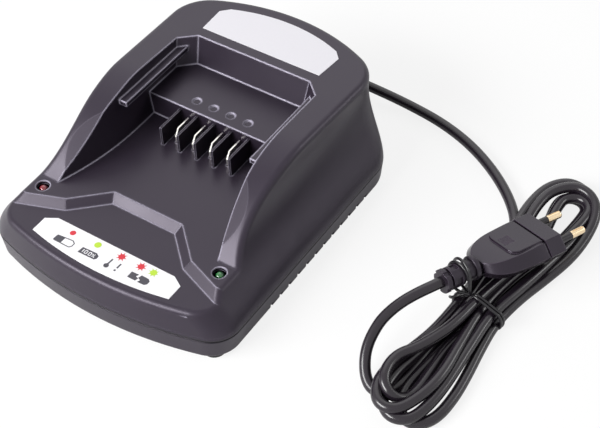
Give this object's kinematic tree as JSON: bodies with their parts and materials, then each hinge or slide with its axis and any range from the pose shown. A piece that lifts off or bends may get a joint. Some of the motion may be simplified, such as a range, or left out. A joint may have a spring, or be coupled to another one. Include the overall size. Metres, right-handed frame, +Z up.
{
  "type": "power tool battery charger",
  "caption": "Desktop charger for a slide-in power tool battery: black moulded case with an open bay, contact blades, status lamps, mains lead and plug.",
  "frame": {"origin": "middle of the case's footprint, on the surface that the feet stand on", "axes": "+X to the right-hand side seen from the label, +Y from the label towards the back, +Z up"},
  "size_m": [0.2662, 0.2212, 0.0658],
  "materials": {
    "upper_housing": "fine satin texture, black",
    "lower_housing": "fine spark texture, black",
    "rubber_feet": "soft matt black",
    "housing_screws": "zinc plated",
    "status_label": "printed white film, charge states in small dark pictures",
    "top_label": "plain light film",
    "red_lamp": "tinted clear lens",
    "green_lamp": "tinted clear lens",
    "lamp_spacers": "black",
    "lamp_leads": "tinned",
    "contact_guard": "fine satin texture, black",
    "contact_blades": "nickel plated spring metal",
    "circuit_board": "green solder mask",
    "board_screws": "zinc plated",
    "transformer_core": "sintered ferrite",
    "transformer_winding": "yellow tape on a black bobbin",
    "input_capacitor": "printed sleeve",
    "output_capacitors": "printed sleeve",
    "common_mode_choke": "enamelled windings",
    "suppression_capacitor": "moulded box",
    "fuse": "glass tube with plated caps",
    "bridge_rectifier": "moulded",
    "switching_transistor": "moulded, tinned tab",
    "primary_heatsink": "plain sheet",
    "output_diode": "moulded, tinned tab",
    "secondary_heatsink": "plain sheet",
    "controller_chip": "moulded",
    "optocoupler": "moulded",
    "cord_clamp": "plain",
    "cord_clamp_screws": "zinc plated",
    "inner_cord": "black jacket",
    "live_wire": "brown insulation",
    "neutral_wire": "blue insulation",
    "cord_boot": "black",
    "mains_lead": "black satin jacket",
    "mains_hank": "black satin jacket",
    "mains_tail": "black satin jacket",
    "plug_body": "moulded, satin",
    "plug_neck": "moulded, satin",
    "plug_pins": "bright plated brass",
    "pin_sleeves": "moulded",
    "twist_tie": "plastic coated wire"
  },
  "bodies": {
    "root": {"upper_housing": "upper_housing", "lower_housing": "lower_housing", "rubber_feet": "rubber_feet", "housing_screws": "housing_screws", "status_label": "status_label", "top_label": "top_label", "red_lamp": "red_lamp", "green_lamp": "green_lamp", "lamp_spacers": "lamp_spacers", "lamp_leads": "lamp_leads", "contact_guard": "contact_guard", "contact_blades": "contact_blades", "circuit_board": "circuit_board", "board_screws": "board_screws", "transformer_core": "transformer_core", "transformer_winding": "transformer_winding", "input_capacitor": "input_capacitor", "output_capacitors": "output_capacitors", "common_mode_choke": "common_mode_choke", "suppression_capacitor": "suppression_capacitor", "fuse": "fuse", "bridge_rectifier": "bridge_rectifier", "switching_transistor": "switching_transistor", "primary_heatsink": "primary_heatsink", "output_diode": "output_diode", "secondary_heatsink": "secondary_heatsink", "controller_chip": "controller_chip", "optocoupler": "optocoupler", "cord_clamp": "cord_clamp", "cord_clamp_screws": "cord_clamp_screws", "inner_cord": "inner_cord", "live_wire": "live_wire", "neutral_wire": "neutral_wire", "cord_boot": "cord_boot", "mains_lead": "mains_lead", "mains_hank": "mains_hank", "mains_tail": "mains_tail", "plug_body": "plug_body", "plug_neck": "plug_neck", "plug_pins": "plug_pins", "pin_sleeves": "pin_sleeves", "twist_tie": "twist_tie"}
  },
  "joints": []
}
